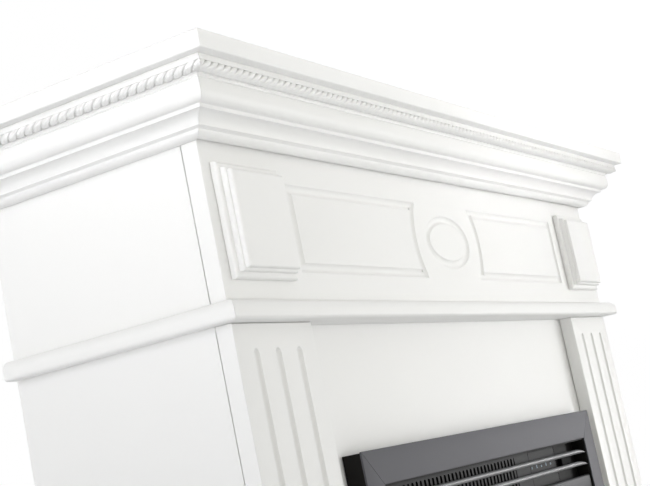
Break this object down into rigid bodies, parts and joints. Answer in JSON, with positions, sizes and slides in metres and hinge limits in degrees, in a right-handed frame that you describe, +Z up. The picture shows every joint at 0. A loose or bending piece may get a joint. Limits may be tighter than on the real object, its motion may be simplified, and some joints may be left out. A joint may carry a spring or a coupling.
{
  "type": "fireplace mantelpiece",
  "caption": "Painted wooden fireplace mantelpiece with a moulded cornice, rope strip, corner blocks, fluted pilasters and an electric fire in its opening.",
  "frame": {"origin": "centre of the bounding box on the floor plane, under the piece", "axes": "+X along the shelf to the right as seen from the front, +Y towards the wall, +Z up; the front faces -Y"},
  "size_m": [1.06, 0.297, 1],
  "materials": {
    "painted_board": "smooth white satin paint over board",
    "fire_case": "black satin powder coat",
    "fire_bezel": "grey metallic satin paint",
    "fire_louvre": "bright satin",
    "fire_plate": "dark grey satin paint",
    "fire_switch": "black moulded plastic",
    "fire_glass": "dark tinted glass"
  },
  "bodies": {
    "root": {"mantel_shelf": "painted_board", "cornice_front": "painted_board", "cornice_left": "painted_board", "cornice_right": "painted_board", "rope_front": "painted_board", "rope_left": "painted_board", "rope_right": "painted_board", "rail_front": "painted_board", "rail_left": "painted_board", "rail_right": "painted_board", "frieze_board": "painted_board", "corner_block_left": "painted_board", "corner_block_right": "painted_board", "pilaster_left": "painted_board", "pilaster_right": "painted_board", "plinth_left": "painted_board", "plinth_right": "painted_board", "skirting_left": "painted_board", "skirting_right": "painted_board", "side_panel_left": "painted_board", "side_panel_right": "painted_board", "surround_panel": "painted_board", "fire_shelf": "painted_board", "fire_casing": "fire_case", "fire_blank_plate": "fire_case", "fire_bezel_top": "fire_bezel", "fire_bezel_bottom": "fire_bezel", "fire_bezel_left": "fire_bezel", "fire_bezel_right": "fire_bezel", "fire_louvre_1": "fire_louvre", "fire_louvre_2": "fire_louvre", "fire_window_rail": "fire_louvre", "fire_vent_plate": "fire_plate", "fire_control_plate": "fire_plate", "fire_switch": "fire_switch", "fire_window": "fire_glass"}
  },
  "joints": []
}
